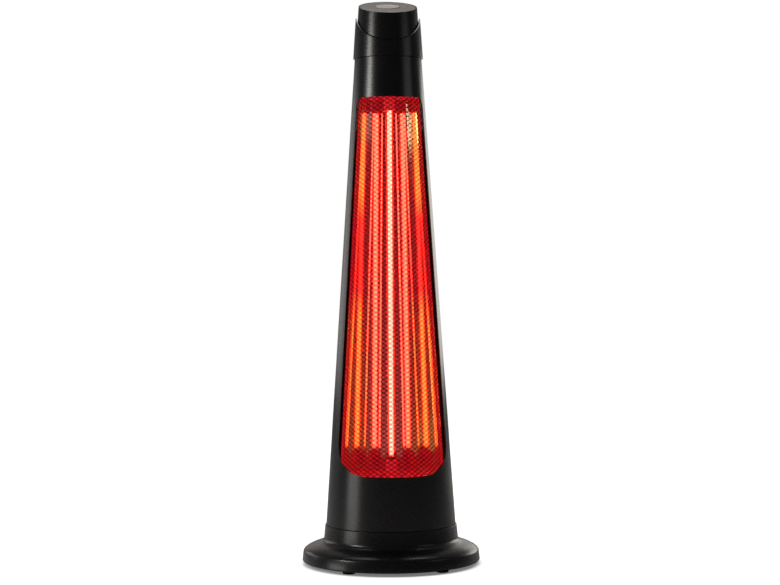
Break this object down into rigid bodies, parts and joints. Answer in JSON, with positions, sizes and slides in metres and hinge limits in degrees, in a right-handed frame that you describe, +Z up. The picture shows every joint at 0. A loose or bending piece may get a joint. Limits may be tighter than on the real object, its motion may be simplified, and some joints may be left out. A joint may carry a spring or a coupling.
{
  "type": "infrared patio heater tower",
  "caption": "Tapered black infrared heater tower: a lamp and folded reflector behind a curved guard, turning on a round base, with a push button on its slanted top.",
  "frame": {"origin": "centre of the footprint, on the surface that the rubber feet stand on", "axes": "+Z up, the window faces -Y, +X to the right seen from the front"},
  "size_m": [0.26, 0.26, 0.8274],
  "materials": {
    "black_plastic": "satin moulded black plastic",
    "panel_plastic": "smooth brownish grey inlay",
    "grey_plastic": "satin light grey",
    "inner_plastic": "plain moulded plastic",
    "white_plastic": "natural engineering plastic",
    "rubber": "black rubber",
    "cast_iron": "painted cast iron",
    "zinc_steel": "zinc plated sheet steel",
    "guard_steel": "dark coated steel mesh",
    "mirror_aluminium": "polished aluminium sheet",
    "quartz": "clear quartz tube",
    "filament": "glowing carbon filament",
    "ceramic": "unglazed ceramic",
    "circuit_board": "green circuit board"
  },
  "bodies": {
    "base": {"base_shell": "black_plastic", "base_bottom_plate": "zinc_steel", "ballast_weight": "cast_iron", "cable_gland": "rubber", "tip_over_switch": "inner_plastic", "terminal_block": "white_plastic", "bearing_ring": "white_plastic", "oscillation_motor": "zinc_steel", "rubber_foot_1": "rubber", "rubber_foot_2": "rubber", "rubber_foot_3": "rubber", "rubber_foot_4": "rubber", "rubber_foot_5": "rubber"},
    "pinion": {"drive_pinion": "white_plastic"},
    "tower": {"turntable": "inner_plastic", "ring_gear": "white_plastic", "retaining_ring": "zinc_steel", "front_shell": "black_plastic", "rear_cover": "black_plastic", "guard_net": "guard_steel", "reflector": "mirror_aluminium", "lower_end_plate": "mirror_aluminium", "upper_end_plate": "mirror_aluminium", "steel_spine": "zinc_steel", "lamp_tube": "quartz", "lamp_filament": "filament", "lamp_end_lower": "ceramic", "lamp_end_upper": "ceramic", "lamp_bracket_lower": "zinc_steel", "lamp_bracket_upper": "zinc_steel", "thermal_cutout": "zinc_steel", "neck": "inner_plastic", "sleeve": "black_plastic", "head_cap": "black_plastic", "top_panel": "panel_plastic", "button_switch": "inner_plastic", "control_board": "circuit_board"},
    "button": {"push_button": "grey_plastic", "switch_plunger": "white_plastic"}
  },
  "joints": [
    {"name": "tower_turn", "type": "hinge", "parent": "base", "child": "tower", "pos_m": [0, 0, 0.0533], "axis": [0, 0, 1], "range_deg": [-35, 35]},
    {"name": "pinion_spin", "type": "hinge", "parent": "base", "child": "pinion", "pos_m": [0, 0.04, 0.0515], "axis": [0, 0, 1], "range_deg": [-211, 211]},
    {"name": "button_press", "type": "slide", "parent": "tower", "child": "button", "axis": [0, 0.3057, -0.9521], "range_m": [0, 0.002], "stiffness_N_per_m": 600, "springref_m": -0.001}
  ],
  "couplings": [
    {"joint": "pinion_spin", "follows": "tower_turn", "ratio": 6}
  ]
}
